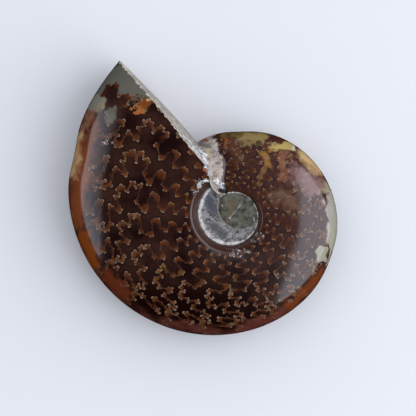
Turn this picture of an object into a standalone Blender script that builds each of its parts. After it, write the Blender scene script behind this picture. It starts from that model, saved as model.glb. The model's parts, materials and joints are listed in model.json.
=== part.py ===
"""Ammonite fossil: a coiled shell turned to stone, sawn across at its mouth, polished, and lying on its side.

The fossil is one closed solid. A section of the whorl, the coiling tube, is carried round a spiral that opens
towards the mouth. The section starts in the middle of the umbilicus, the hollow at the coil's centre. It crosses
the matrix floor, climbs the umbilical wall, runs over the flank to the venter, the outer edge, and is mirrored
below the plane of the coil. At the mouth a saw cut drops from the last whorl to the earlier whorl beside it.

Metres, +Z up. The coil's axis is near +Z, and the origin is at the centre of the bottom of the bounding box.
"""

import math

import bmesh
import bpy
import numpy as np
from mathutils import Matrix, Vector

MM = 0.001

# The coil, seen from above. A turn is counted back from the mouth: 0 at the mouth, 1 at the whorl beside it.
MOUTH_ANGLE = math.radians(126)  # from the coil's centre to the outer tip of the mouth
MOUTH_RADIUS = 43.7 * MM
GROWTH = 2.42  # how many times larger the outer radius is after one turn
SWELLINGS = ((1, -0.034, 0.024), (2, 0.019, -0.006))  # waves per turn, and their sine and cosine shares
LIP_FLARE, LIP_LENGTH = 0.020, 0.030  # share of the radius added at the mouth, and the turn it dies away over
# Where the venter was polished a little flat: the turn, the length in turns and the depth as a radius share
POLISHED_FLATS = ((0.094, 0.022, 0.018), (0.59, 0.030, 0.010), (0.89, 0.035, 0.016))

# The whorl's section
HALF_THICKNESS = 10.5 * MM  # of the last whorl at the mouth
THICKNESS_GROWTH = 1.6  # after one turn
CREST = 0.27  # where the flank is highest, as a share of the way from the umbilical wall to the venter
VENTER_POWER = 4  # how flat the flank stays before it rounds over to the venter
SHOULDER_POWER = 7  # how tightly it rounds into the umbilicus

# The umbilicus, filled with matrix
FLOOR_RADIUS = 8.2 * MM
FLOOR_GROWTH = 1.56
FLOOR_LEVEL = 5.6 * MM  # above the plane of the coil
RIM_RISE, RIM_SHARE = 0.35 * MM, 0.2  # the matrix climbs the foot of the wall
INNER_WHORL_CENTRE = (2.2 * MM, 1.6 * MM)  # the inner whorl stands a little out of the matrix
INNER_WHORL_RADIUS = 5.2 * MM
INNER_WHORL_RISE, INNER_WHORL_EDGE = 0.5 * MM, 0.9 * MM

# The saw cut across the mouth
CUT_OFFSET = 3.2 * MM  # how far the straight cut passes from the coil's centre
CUT_DIRECTION = Vector((0.6445, -0.7646))  # in plan, from the tip of the mouth inwards
CUT_BEND = (7.5 * MM, 13.5 * MM)  # between these radii its inner end turns back to the umbilicus
CUT_BOW, CUT_BOW_RADIUS = 0.45 * MM, 18.6 * MM  # outside this radius the face bows out a little
CUT_LEAN = math.tan(math.radians(1.8))  # the foot of the cut face stands out
CUT_REACH = 0.125  # turns on each side over which the columns bend round to follow the cut
CUT_GAP = math.radians(4.5)  # from the last section to the earlier whorl's, where the foot of the face flares out

# A crust of chalky matrix on the earlier whorl, beside the cut: its depth, where it starts and the turn that it
# rises over, steeply on the flank and gently round the venter
CRUST = 0.6 * MM
CRUST_START, CRUST_EDGE = 0.945, 0.02
VENTER_CRUST_START, VENTER_CRUST_EDGE = 0.89, 0.11

# How it lies: the coil thins away from the mouth, so its plane leans until the lower flank touches all round
LEAN = math.radians(3.0)
LEAN_TOWARDS = math.radians(98)  # the side that rises
GROUND_OFF = 0.25 * MM  # taken from the lower flank where it lies

# Columns go round the coil, and rings go from the middle of one face to the middle of the other
COIL_COLUMNS = 108
CUT_COLUMNS = 3
FLOOR_RINGS = 6
FLOOR_SPREAD = 0.6  # power that keeps the floor's rings away from its middle
WALL_RINGS = 6
FLANK_RINGS = 9

STONE_COLOUR = (0.13, 0.057, 0.038)
STONE_ROUGHNESS = 0.16
SHARP_EDGE = math.radians(40)


def smooth(share):
    """0 below 0, 1 above 1, and an even ease between."""
    share = np.clip(share, 0, 1)
    return share * share * (3 - 2 * share)


def outer_radius(turn):
    """The venter's distance from the coil's centre, without the crust."""
    shrink = -math.log(GROWTH) * turn
    for waves, sine, cosine in SWELLINGS:
        phase = 2 * math.pi * waves * turn
        shrink = shrink + sine * np.sin(phase) + cosine * (np.cos(phase) - 1)
    flare = LIP_FLARE * np.exp(-turn / LIP_LENGTH)
    flat = sum(depth * np.exp(-(((turn - place) / length) ** 2)) for place, length, depth in POLISHED_FLATS)
    return MOUTH_RADIUS * np.exp(shrink) * (1 + flare - flat)


def floor_share(ring):
    """How far out on the umbilicus's floor a ring lies, from 0 in the middle to 1 at the foot of the wall."""
    return (ring / FLOOR_RINGS) ** FLOOR_SPREAD


def rim(share):
    """0 on the level floor, rising to 1 where the matrix climbs the foot of the wall."""
    return smooth((share - 1) / RIM_SHARE + 1)


def upper_section(turn):
    """Radius and height of every ring of the upper half, from the floor's middle out to the venter."""
    venter = outer_radius(turn) + CRUST * smooth((turn - VENTER_CRUST_START) / VENTER_CRUST_EDGE)
    top = HALF_THICKNESS * THICKNESS_GROWTH**-turn + CRUST * smooth((turn - CRUST_START) / CRUST_EDGE)
    foot = FLOOR_RADIUS * FLOOR_GROWTH**-turn
    crest = foot + CREST * (venter - foot)
    foot_level = FLOOR_LEVEL + RIM_RISE
    radii, heights = [], []
    for ring in range(1, FLOOR_RINGS + 1):
        share = floor_share(ring)
        radii.append(foot * share)
        heights.append(np.full_like(turn, FLOOR_LEVEL + RIM_RISE * rim(share)))
    for ring in range(1, WALL_RINGS + 1):
        across = math.cos(0.5 * math.pi * ring / WALL_RINGS)
        radii.append(crest - (crest - foot) * across)
        heights.append(foot_level + (top - foot_level) * math.sqrt(1 - across**SHOULDER_POWER))
    for ring in range(1, FLANK_RINGS + 1):
        across = math.sin(0.5 * math.pi * ring / FLANK_RINGS)
        radii.append(crest + (venter - crest) * across)
        heights.append(top * math.sqrt(1 - across**VENTER_POWER))
    return np.array(radii), np.array(heights)


def cut_shift(radius):
    """How far the saw cut runs round from the mouth's direction, at a radius."""
    inner, outer = CUT_BEND
    straight = np.arcsin(CUT_OFFSET / MOUTH_RADIUS) - np.arcsin(CUT_OFFSET / np.maximum(radius, inner))
    along = np.clip((MOUTH_RADIUS - radius) / (MOUTH_RADIUS - CUT_BOW_RADIUS), 0, 1)
    bow = CUT_BOW * np.sin(math.pi * along) / radius
    return straight * smooth((radius - inner) / (outer - inner)) - bow


def inner_whorl_rise(x, y):
    """How far the inner whorl stands out of the floor at a place in plan."""
    distance = np.hypot(x - INNER_WHORL_CENTRE[0], y - INNER_WHORL_CENTRE[1])
    return INNER_WHORL_RISE * smooth(0.5 + (INNER_WHORL_RADIUS - distance) / INNER_WHORL_EDGE)


def upper_half():
    """Points of the upper half as an array of ring, column and coordinate, about the coil's centre, and each
    point's share of the saw cut's lean."""
    turn = np.linspace(0, 1, COIL_COLUMNS)
    radius, height = upper_section(turn)
    # The columns of the cut face lead from the earlier whorl's section, at turn 1, to the last one, at turn 0.
    mix = np.arange(1, CUT_COLUMNS + 1) / (CUT_COLUMNS + 1)
    radius = np.hstack([radius, radius[:, -1:] + (radius[:, :1] - radius[:, -1:]) * mix])
    height = np.hstack([height, height[:, -1:] + (height[:, :1] - height[:, -1:]) * mix])
    turn = np.hstack([turn, np.ones(CUT_COLUMNS)])
    mix = np.hstack([np.zeros(COIL_COLUMNS), mix])

    ring = np.arange(1, len(radius) + 1)[:, None]
    near_cut = smooth(1 - np.minimum(turn, 1 - turn) / CUT_REACH)
    angle = MOUTH_ANGLE + 2 * math.pi * turn - CUT_GAP * turn * (1 - mix) ** 2 + near_cut * cut_shift(radius)
    x, y = radius * np.cos(angle), radius * np.sin(angle)
    height = height + inner_whorl_rise(x, y) * (1 - rim(floor_share(ring)))
    on_flank = smooth((ring - FLOOR_RINGS) / WALL_RINGS)
    return np.stack([x, y, height], axis=-1), on_flank * near_cut


def coil_points():
    """All rings from one pole's neighbour to the other's, as an array of ring, column and coordinate."""
    upper, leaning = upper_half()
    points = np.concatenate([upper, upper[-2::-1] * (1, 1, -1)])
    leaning = np.concatenate([leaning, leaning[-2::-1]])
    # The lower half mirrors the upper one, but the cut face leans the same way through both.
    outwards = -points[..., 2] * CUT_LEAN * leaning
    points[..., 0] -= outwards * CUT_DIRECTION.y
    points[..., 1] += outwards * CUT_DIRECTION.x
    return points


def lay_down(bm):
    """Lean the coil on its lower flank, grind that flank flat where it lies, and set it on the ground."""
    axis = Vector((math.sin(LEAN_TOWARDS), -math.cos(LEAN_TOWARDS), 0))
    bmesh.ops.rotate(bm, verts=bm.verts, cent=(0, 0, 0), matrix=Matrix.Rotation(LEAN, 3, axis))
    places = np.array([vertex.co for vertex in bm.verts])
    lowest, highest = places.min(axis=0), places.max(axis=0)
    ground = lowest[2] + GROUND_OFF
    middle = (lowest + highest) / 2
    for vertex in bm.verts:
        vertex.co.z = max(vertex.co.z, ground)
    bmesh.ops.translate(bm, verts=bm.verts, vec=(-middle[0], -middle[1], -ground))


def stone_material():
    material = bpy.data.materials.new("polished_stone")
    material.use_nodes = True
    surface = material.node_tree.nodes["Principled BSDF"]
    surface.inputs["Base Color"].default_value = (*STONE_COLOUR, 1)
    surface.inputs["Roughness"].default_value = STONE_ROUGHNESS
    surface.inputs["Metallic"].default_value = 0
    return material


def ammonite():
    """The coil as a sphere's grid of rings and columns, each point moved to its place on the shell."""
    points = coil_points()
    rings, columns = points.shape[:2]
    bm = bmesh.new()
    bmesh.ops.create_uvsphere(bm, u_segments=columns, v_segments=rings + 1, radius=1)
    pole_level = FLOOR_LEVEL + float(inner_whorl_rise(0, 0))
    for vertex in bm.verts:
        ring = round(math.acos(max(-1, min(1, vertex.co.z))) / math.pi * (rings + 1))
        if ring in (0, rings + 1):
            vertex.co = (0, 0, math.copysign(pole_level, vertex.co.z))
            continue
        column = round(math.atan2(vertex.co.y, vertex.co.x) / (2 * math.pi) * columns) % columns
        vertex.co = points[ring - 1, column]
    lay_down(bm)
    mesh = bpy.data.meshes.new("ammonite")
    bm.to_mesh(mesh)
    bm.free()
    mesh.shade_smooth()
    mesh.set_sharp_from_angle(angle=SHARP_EDGE)
    mesh.materials.append(stone_material())
    return bpy.data.objects.new("ammonite", mesh)


def main():
    for old in list(bpy.data.objects):
        bpy.data.objects.remove(old)
    collection = bpy.data.collections.new("ammonite_fossil")
    bpy.context.scene.collection.children.link(collection)
    collection.objects.link(ammonite())


main()
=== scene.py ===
"""Ammonite fossil: the looks of a polished, sutured ammonite that lies on its side.

The coil is one mesh, made by Geometry Nodes from the same rule and sizes as the model's solid. Its sutures,
the frilled lines where the shell's inner walls met the shell, are worked out on that mesh as the distance
from the nearest line. The stone's material draws the line, its scallops and the warm leaves inside its folds.
"""

import sys

import ast
import json
import math

import bmesh
import bpy
import numpy as np
from mathutils import Quaternion, Vector, kdtree
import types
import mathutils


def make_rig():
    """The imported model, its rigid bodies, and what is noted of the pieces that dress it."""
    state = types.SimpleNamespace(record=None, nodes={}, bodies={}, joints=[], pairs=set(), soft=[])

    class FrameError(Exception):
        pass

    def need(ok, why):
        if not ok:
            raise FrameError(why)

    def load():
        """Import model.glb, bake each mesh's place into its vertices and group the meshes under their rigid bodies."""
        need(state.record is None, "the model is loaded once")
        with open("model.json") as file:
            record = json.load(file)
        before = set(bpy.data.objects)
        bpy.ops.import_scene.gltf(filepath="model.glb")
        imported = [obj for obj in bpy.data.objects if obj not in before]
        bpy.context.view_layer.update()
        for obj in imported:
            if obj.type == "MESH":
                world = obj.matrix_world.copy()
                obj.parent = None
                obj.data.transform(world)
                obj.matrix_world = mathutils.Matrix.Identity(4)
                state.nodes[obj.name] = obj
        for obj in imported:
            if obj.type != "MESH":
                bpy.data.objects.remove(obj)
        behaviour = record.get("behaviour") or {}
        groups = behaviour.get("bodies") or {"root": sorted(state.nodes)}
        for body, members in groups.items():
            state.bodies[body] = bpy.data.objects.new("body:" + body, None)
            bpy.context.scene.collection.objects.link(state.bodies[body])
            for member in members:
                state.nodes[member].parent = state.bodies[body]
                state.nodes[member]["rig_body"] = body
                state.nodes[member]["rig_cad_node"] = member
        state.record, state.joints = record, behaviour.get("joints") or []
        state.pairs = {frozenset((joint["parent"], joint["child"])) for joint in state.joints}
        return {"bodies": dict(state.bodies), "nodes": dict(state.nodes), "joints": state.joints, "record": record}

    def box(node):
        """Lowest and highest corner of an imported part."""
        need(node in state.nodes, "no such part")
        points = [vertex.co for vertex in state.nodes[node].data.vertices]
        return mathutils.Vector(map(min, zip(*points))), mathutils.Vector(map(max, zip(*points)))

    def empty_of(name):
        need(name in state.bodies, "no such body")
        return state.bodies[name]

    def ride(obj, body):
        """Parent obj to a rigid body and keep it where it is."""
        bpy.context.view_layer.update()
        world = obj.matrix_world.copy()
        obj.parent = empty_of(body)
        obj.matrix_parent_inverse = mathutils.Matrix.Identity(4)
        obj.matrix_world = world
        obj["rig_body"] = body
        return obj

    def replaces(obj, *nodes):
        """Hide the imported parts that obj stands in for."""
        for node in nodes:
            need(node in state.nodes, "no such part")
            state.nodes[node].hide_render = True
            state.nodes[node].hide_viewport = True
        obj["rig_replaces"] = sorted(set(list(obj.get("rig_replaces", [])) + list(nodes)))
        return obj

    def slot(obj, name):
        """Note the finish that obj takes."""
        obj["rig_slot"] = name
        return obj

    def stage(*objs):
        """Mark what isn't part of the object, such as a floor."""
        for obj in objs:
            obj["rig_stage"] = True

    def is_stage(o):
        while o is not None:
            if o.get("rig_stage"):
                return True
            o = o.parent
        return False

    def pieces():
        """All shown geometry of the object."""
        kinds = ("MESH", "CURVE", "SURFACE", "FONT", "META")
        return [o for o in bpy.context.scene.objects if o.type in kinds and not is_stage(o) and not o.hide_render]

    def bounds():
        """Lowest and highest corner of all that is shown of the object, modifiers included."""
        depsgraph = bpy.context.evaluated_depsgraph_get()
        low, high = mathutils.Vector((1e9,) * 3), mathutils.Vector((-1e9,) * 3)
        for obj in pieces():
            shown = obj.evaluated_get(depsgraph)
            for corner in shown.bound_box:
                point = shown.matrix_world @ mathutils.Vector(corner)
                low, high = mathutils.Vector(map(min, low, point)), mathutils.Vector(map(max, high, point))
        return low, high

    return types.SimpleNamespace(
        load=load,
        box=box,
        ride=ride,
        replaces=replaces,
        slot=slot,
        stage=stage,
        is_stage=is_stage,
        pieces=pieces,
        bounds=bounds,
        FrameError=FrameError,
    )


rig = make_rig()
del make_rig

bl_info = {
    "name": "Ammonite Fossil",
    "version": (1, 0, 0),
    "blender": (4, 5, 0),
    "location": "3D View > Sidebar > Fossil",
    "description": "Builds a polished ammonite on a pale studio floor",
    "category": "Object",
}

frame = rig.load()
CAD_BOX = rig.bounds()
NODE = "ammonite"
SLOT = "polished_calcite"
MM = 0.001
HALF_PI = math.pi / 2
FULL_TURN = 2 * math.pi

# The coil, seen from above. A turn is counted back from the mouth: 0 at the mouth, 1 at the whorl beside it.
MOUTH_ANGLE = math.radians(126)
SWELLINGS = ((1, -0.034, 0.024), (2, 0.019, -0.006))  # waves per turn, and their sine and cosine shares
LIP_FLARE, LIP_LENGTH = 0.020, 0.030
POLISHED_FLATS = ((0.094, 0.022, 0.018), (0.59, 0.030, 0.010), (0.89, 0.035, 0.016))  # turn, length, depth
THICKNESS_GROWTH = 1.6
CREST_SHARE = 0.27  # where the flank is highest, on the way from the umbilical wall to the venter
VENTER_POWER = 4
FLOOR_GROWTH = 1.56
RIM_RISE, RIM_SHARE = 0.35 * MM, 0.2
INNER_WHORL_X, INNER_WHORL_Y = 2.2 * MM, 1.6 * MM
INNER_WHORL_RADIUS, INNER_WHORL_RISE, INNER_WHORL_EDGE = 5.2 * MM, 0.5 * MM, 0.9 * MM
CUT_OFFSET = 3.2 * MM
CUT_X, CUT_Y = 0.6445, -0.7646  # the saw cut's direction in plan, from the tip of the mouth inwards
CUT_BEND_INNER, CUT_BEND_OUTER = 7.5 * MM, 13.5 * MM
CUT_BOW, CUT_BOW_RADIUS = 0.45 * MM, 18.6 * MM
CUT_LEAN = math.tan(math.radians(1.8))
CUT_REACH = 0.125
CUT_GAP = math.radians(4.5)
CRUST = 0.6 * MM
CRUST_START, CRUST_EDGE = 0.945, 0.02
VENTER_CRUST_START, VENTER_CRUST_EDGE = 0.89, 0.11
LEAN, LEAN_TOWARDS = math.radians(3.0), math.radians(98)
GROUND_OFF = 0.25 * MM

# The mesh of the coil: columns go round it, and rings from the upper face's middle to the lower one's
COLUMNS, RINGS = 560, 176
CUT_SHARE = 0.03  # of the columns, for the sawn face
UPPER_SHARE = 0.68  # of the rings, for the upper half
FLOOR_RINGS, WALL_RINGS = 0.14, 0.38  # of a half's rings, up to the umbilical wall's foot and its crest
FLANK_EASE = 0.85  # how much closer the flank's rings lie at its crest
WALL_RUN = 0.2  # of the way from the umbilical wall's foot to its crest, which the steep part takes
WALL_TOP_DROP = 0.06  # how far below the crest the flank starts at the wall, of the wall's height
WALL_CORNER = 0.04  # softness of the corner between the two
ROUGH_DEPTH, ROUGH_GRAIN = 0.35 * MM, 1.6 * MM  # of the matrix's and the crust's lumps
POLISH_WAVE, POLISH_WAVE_LENGTH = 0.05 * MM, 9 * MM

# The middle of the coil on the finished piece, in millimetres
MIDDLE_X, MIDDLE_Y = 6.46, -3.69

# One suture, from the umbilicus to the venter. Each point is a percentage of the way across the flank, and
# how far forward it lies in percent of the gap between two sutures. Saddles reach forward, and lobes back.
SUTURE_LINE = (
    # auxiliary folds, beside the umbilicus
    (0, -10), (2, -16), (4, -32), (5.5, -16), (6.5, -4), (8, -8), (10, -30), (12, -46), (13.6, -56),
    (14.6, -44), (14.4, -20), (14.6, -2), (16.4, -4), (18.6, -28), (20.7, -44), (21.6, -22), (21, -5),
    (21.3, 8), (22.8, 15), (24.5, 10), (26.2, -16), (28.4, -32), (29.8, -17), (31.2, -8),
    # second lateral saddle, and a lobe with two tips
    (30.7, 10), (30.9, 27), (32.2, 34), (34.5, 33), (35.6, 25), (35.5, 14), (36.8, 3), (36.6, -15),
    (37.6, -30), (39.3, -36), (40.4, -26), (41.6, -24), (42.3, -14), (44.3, -11), (44.6, -2), (43, 12),
    (43.1, 28),
    # first lateral saddle, with four leaves
    (42.6, 38), (43.4, 47), (44.9, 47), (46.2, 38), (47, 48), (48.8, 46), (49.3, 34), (49.4, 16),
    (51.3, 27), (52.8, 33), (54.6, 32), (55.2, 25), (56.9, 24), (56.7, 17), (55, 8), (55.4, 3), (57, 1),
    (57.4, -4), (56, -9),
    # lateral lobe, with a side tip and three long ones
    (55.2, -16), (53.7, -23), (53.2, -34), (53.9, -40), (55.5, -40), (57.4, -33), (59.5, -28), (60.9, -33),
    (60.8, -48), (61.6, -60), (60.6, -71), (62.4, -71), (63.6, -80), (65, -83), (66.2, -77), (65.4, -61),
    (68, -67), (69.4, -70), (69.2, -60), (66.8, -46), (65.8, -38), (66.8, -34),
    # a small saddle, and the lobe's outer tips
    (65.9, -28), (65.8, -19), (66.8, -15), (68.8, -21), (70.2, -29), (71.8, -38), (72.5, -46), (73.3, -41),
    (75.4, -47), (75.6, -38), (74.4, -22), (73, -8), (70.6, 4), (69.5, 12), (71.6, 13),
    # external saddle
    (71.2, 26), (73.2, 33), (75.8, 27), (77.2, 17), (79, 21), (81.6, 26), (84, 22), (85, 12), (87.4, 14),
    (89, 8),
    # external lobe and its small saddle, on the venter
    (88.4, -8), (89.4, -26), (90, -42), (91.4, -52), (93, -44), (94.4, -58), (95.6, -46), (95, -26),
    (96.2, -14), (98.4, -10), (100, -11),
)
SUTURE_STEPS = 5  # points on the smooth line for each point above, and for each scallop
ACROSS_TO_FORWARD = 4.0  # length of the whole way across, in gaps between two sutures
SCALLOP_LENGTH, SCALLOP_DEPTH = 0.105, 0.06  # of the scallops round a suture's leaves and tips, in gaps
SCALLOP_MIDDLE = 0.35  # how far out of a scallop the smooth line runs, of its depth
LEAF_DEPTH = 0.1  # how much further the leaves and tips reach than in the line above
SUTURES = 24
FIRST_SUTURE = -0.024  # turn of the foremost suture
SUTURE_GAP = 0.0486  # turns to the next one
SUTURE_GAP_GROWTH = 1.006
SUTURE_WANDER = (0.0035, 0.03)  # how far the points of a suture wander, across and forward
SUTURE_STRETCH = (0.9, 1.08)  # least and most that a suture is stretched forward
VENTER_DRIFT = 0.06  # how far a suture lies ahead or behind on the venter, in gaps
UMBILICUS_SHARE = -0.3  # how far across a suture starts, in the umbilicus
FARTHEST = 3  # millimetres: no distance from a suture is stored beyond it
SPARE_COLUMNS = 20  # looked at on both sides of a suture
FOLD_SPREADS = (("fold", 2.2), ("leaf", 4.5), ("leaf", 8.0))  # how wide the glowing folds are, in mesh cells
TIP_REACH, TIP_EASE = 0.11, 0.05  # suture length, in gaps, over which its bend is measured and then blurred
TIP_CHAMBER = 1  # the suture behind the olive filling of the tip

# Marks on the stone: each runs between two points, in millimetres from the middle of the piece, with its half
# width, how ragged and how soft its edge is, and its colour.
# Minerals that fill chambers besides the dark stone
MINERALS = (
    ("grey-green leaf", (-21.4, 19.9), (-20.7, 18.5), 0.7, 1.8, 0.4, "#545044"),
    ("orange leaf in the mouth", (-13.8, 21.4), (-11.8, 22.6), 1.1, 1.4, 0.6, "#66360F"),
    ("orange leaf's lower tip", (-16.2, 19.9), (-14.0, 20.6), 0.6, 1.2, 0.3, "#8A5020"),
    ("orange leaf's edge", (-11.6, 23.2), (-12.4, 22.6), 0.5, 0.6, 0.3, "#94795E"),
    ("cream lobe's rim", (-23.8, 22.3), (-24.5, 21.2), 1.3, 0.3, 0.5, "#7E7058"),
    ("cream lobe at the mouth", (-24.8, 22.7), (-25.2, 21.9), 1.5, 0.3, 0.5, "#6E6B5E"),
    ("tan streak at the left margin", (-28.4, 15.6), (-26.2, 19.4), 1.2, 1.2, 1.6, "#6E4C38"),
    ("orange left margin", (-29.6, -5.0), (-27.6, 12.0), 1.9, 0.5, 2.0, "#6C361A"),
    ("cream left edge", (-30.4, 5.8), (-29.1, 14.5), 1.1, 1.2, 2.0, "#A8865E"),
    ("red-brown above it", (-26.6, 12.6), (-24.8, 17.4), 1.2, 1.0, 1.8, "#5E301A"),
    ("orange lower left", (-27.8, -9.0), (-25.6, -15.4), 1.6, 0.6, 1.8, "#6E350E"),
    ("red-brown lower left", (-22.3, -18.4), (-18.4, -22.4), 1.8, 1.2, 2.4, "#562612"),
    ("red-brown bottom", (-8.0, -29.4), (3.0, -31.8), 1.0, 0.8, 2.2, "#50281F"),
    ("red-brown lower right", (9.0, -31.0), (19.0, -27.0), 1.0, 0.8, 2.2, "#542A20"),
    ("orange lower right", (20.5, -25.4), (27.8, -17.8), 1.0, 0.6, 1.8, "#602E14"),
    ("cream right margin", (30.8, 0.5), (30.4, -9.5), 1.7, 0.6, 0.7, "#8E887C"),
    ("cream beside it", (31.2, -6.0), (30.6, -11.5), 1.2, 0.5, 0.5, "#8E8A74"),
    ("cream below it", (30.4, -11.5), (29.3, -15.6), 0.7, 0.4, 0.5, "#8E8A74"),
    ("cream blob", (27.9, -12.0), (27.6, -14.2), 1.1, 0.4, 0.3, "#86826F"),
    ("cream lobe", (29.9, -4.2), (30.6, -6.4), 0.6, 0.6, 0.3, "#8A8474"),
    ("cream upper right", (26.4, 2.4), (29.4, 2.6), 0.9, 1.8, 1.2, "#8C8268"),
    ("mauve haze", (22.2, 6.0), (26.0, 3.0), 2.0, 2.4, 3.0, "#6A4C48"),
    ("amber right margin", (23.6, 10.4), (26.9, 7.0), 1.3, 1.2, 2.0, "#B09062"),
    ("yellow edge of the margin", (25.0, 10.4), (28.2, 6.2), 0.3, 0.6, 0.4, "#8E6A24"),
    ("pale end of the vein", (20.3, 12.4), (21.0, 11.9), 0.5, 0.8, 0.6, "#BAB6A4"),
    ("yellow vein", (16.2, 11.5), (19.8, 12.2), 0.95, 1.0, 0.9, "#A08A50"),
    ("amber vein", (14.0, 10.6), (16.5, 11.3), 0.5, 1.2, 0.8, "#7A5218"),
    ("amber bend", (14.9, 10.4), (14.9, 7.0), 0.45, 1.0, 0.8, "#80582C"),
    ("dim end of the amber", (14.2, 6.2), (12.7, 3.1), 0.4, 1.0, 0.8, "#664624"),
    ("brown haze", (18.6, 9.6), (18.8, 5.6), 1.0, 1.8, 1.6, "#6C4430"),
    ("tan haze on the right", (17.6, 1.0), (21.0, -2.0), 1.4, 2.4, 3.2, "#5A4232"),
    ("olive top edge", (9.6, 14.2), (13.9, 14.4), 1.3, 1.8, 1.8, "#806C40"),
    ("olive beside the crust", (4.8, 14.8), (8.6, 14.9), 0.7, 1.0, 0.9, "#5E5028"),
    ("brown haze at the top", (6.6, 13.0), (8.6, 9.0), 1.4, 2.2, 2.2, "#4A2C1E"),
    ("orange beside the crust", (4.9, 13.6), (5.2, 12.6), 0.3, 0.7, 0.4, "#7A4216"),
    ("orange grain", (0.5, 6.6), (0.6, 6.3), 0.3, 0.4, 0.3, "#94420C"),
)
OCHRE_LEAVES = ((-11.0, -17.2), (-5.6, -17.4), 2.0, 1.6, 0.8)
# On the matrix that fills the umbilicus
MATRIX_MARKS = (
    ("blue-grey shade", (0.6, 1.2), (2.4, -3.0), 0.9, 2.4, 1.0, "#3C3C46"),
    ("lower grey shade", (2.0, -6.2), (4.6, -8.6), 0.7, 1.8, 0.9, "#44443F"),
)
DISC_MARKS = (
    ("ochre streak", (7.2, -1.0), (6.0, -4.0), 0.7, 0.7, 1.6, "#4E4226"),
    ("brown end of the streak", (6.0, -4.2), (5.7, -5.2), 0.3, 0.4, 1.2, "#54402E"),
    ("scratch", (8.7, -1.6), (6.4, -4.5), 0.05, 0.1, 0.14, "#8C8074"),
    ("dot at the scratch's end", (6.3, -4.6), (6.2, -4.7), 0.12, 0.1, 0.2, "#A8A296"),
    ("dot", (11.8, -4.7), (12.0, -5.3), 0.1, 0.2, 0.2, "#B4B4AA"),
    ("left dot", (4.5, -1.6), (4.6, -1.8), 0.1, 0.2, 0.2, "#A8A090"),
)
# On the chalky crust beside the saw cut
CRUST_MARKS = (
    ("dark oval", (3.1, 8.1), (4.0, 8.1), 0.28, 0.15, 0.2, "#6E6260"),
    ("red-brown stain", (-0.8, 13.8), (0.9, 13.4), 0.35, 0.6, 0.4, "#7A4A38"),
    ("grey stain", (-0.4, 12.6), (1.3, 12.0), 0.5, 0.7, 0.4, "#66605C"),
    ("yellow stain", (1.2, 11.2), (1.3, 9.8), 0.3, 0.5, 0.3, "#A69468"),
    # painted shade of a small hollow, which the mesh doesn't dent
    ("pit at the crust's top", (2.4, 14.2), (3.4, 14.4), 0.3, 0.5, 0.3, "#38322C"),
)
# Crystals beside the cut and round the top of the umbilicus, with painted glints among them; then small hollows with
# painted shade, and chips whose pale specks are painted glints
CRYSTALS = (
    ((-5.2, 15.2), (0.3, 9.6), 0.3), ((0.3, 9.6), (2.0, 4.4), 0.3), ((1.6, 4.4), (4.6, 2.6), 0.35),
    # painted glints: white highlights of the lights on the rough umbilical shoulder and on a chip in the polish at the
    # left
    ((-1.2, 2.8), (0.6, 4.3), 0.1), ((-22.6, 12.8), (-20.6, 13.0), 0.1),
    # painted glint: white highlights of the lights on broken spots below the umbilicus
    ((8.0, -12.2), (10.6, -11.6), -0.25),
)
# Painted shade: near-black where two small hollows lie at the top of the umbilicus, which the mesh doesn't dent
PITS = (((4.0, 1.9), (5.1, 1.5), 0.42), ((5.2, 3.0), (5.4, 1.2), 0.2))
# Chips: rough broken spots in the polish with a bumpy surface; the pale specks drawn on them further down are painted
# glints of the lights
CHIPS = (
    ((-22.9, 13.4), (-21.2, 12.8), 0.6), ((-2.4, 0.9), (-0.6, 3.2), 0.3),
    ((7.0, -12.9), (10.2, -12.3), 0.7), ((11.6, -10.4), (13.6, -8.4), 0.5),
)


def linear(hex_colour):
    """An sRGB hex colour as linear red, green, blue and alpha."""
    channels = [int(hex_colour[place : place + 2], 16) / 255 for place in (1, 3, 5)]
    return (*(c / 12.92 if c <= 0.04045 else ((c + 0.055) / 1.055) ** 2.4 for c in channels), 1)


def number_setting(name, description, default, unit="NONE"):
    return bpy.props.FloatProperty(name=name, description=description, unit=unit, default=default)


def colour_setting(name, description, hex_colour):
    return bpy.props.FloatVectorProperty(
        name=name, description=description, subtype="COLOR", size=4, default=linear(hex_colour),
    )


class CoilSettings(bpy.types.PropertyGroup):
    """Sizes of the coil."""

    mouth_radius: number_setting(
        "Mouth Radius", "From the coil's centre to the tip of the mouth", 43.7 * MM, "LENGTH",
    )
    growth: number_setting("Growth", "How many times larger the outer radius is after one turn", 2.42)
    half_thickness: number_setting(
        "Half Thickness", "Of the last whorl at the mouth", 10.5 * MM, "LENGTH",
    )
    floor_radius: number_setting(
        "Floor Radius", "Of the umbilicus's matrix floor, towards the mouth", 8.2 * MM, "LENGTH",
    )
    floor_level: number_setting(
        "Floor Level", "Height of the matrix floor above the plane of the coil", 5.6 * MM, "LENGTH",
    )
    seed: bpy.props.IntProperty(name="Seed", description="Of the sutures' small differences", default=4)


class StoneSettings(bpy.types.PropertyGroup):
    """The main colours of the polished stone."""

    stone: colour_setting("Stone", "The dark calcite between the leaves", "#301A13")
    leaf: colour_setting("Leaves", "The warm fill of the sutures' folds", "#442211")
    leaf_edge: colour_setting("Edge of the Leaves", "The amber just inside the sutures", "#663A13")
    suture: colour_setting("Sutures", "The thin pale shell wall, where it runs straight", "#58463A")
    suture_tip: colour_setting("Tips of the Sutures", "The shell wall where it bends", "#84745F")
    margin: colour_setting("Margin", "The red-brown outer edge of the whorl", "#4E281E")


class StudioSettings(bpy.types.PropertyGroup):
    """The floor, the lights and the camera."""

    floor_colour: colour_setting("Floor", "Colour of the floor", "#C7C6C4")
    left_light: number_setting("Left Light", "Brightness of the left softbox", 1.5)
    right_light: number_setting("Right Light", "Brightness of the right softbox", 2.35)
    fill_light: number_setting("Fill Light", "Brightness of the softbox overhead", 0.55)
    world_light: number_setting("World Light", "Brightness of the light from all round", 0.9)
    camera_height: number_setting("Camera Height", "Above the floor", 0.6, "LENGTH")


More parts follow.
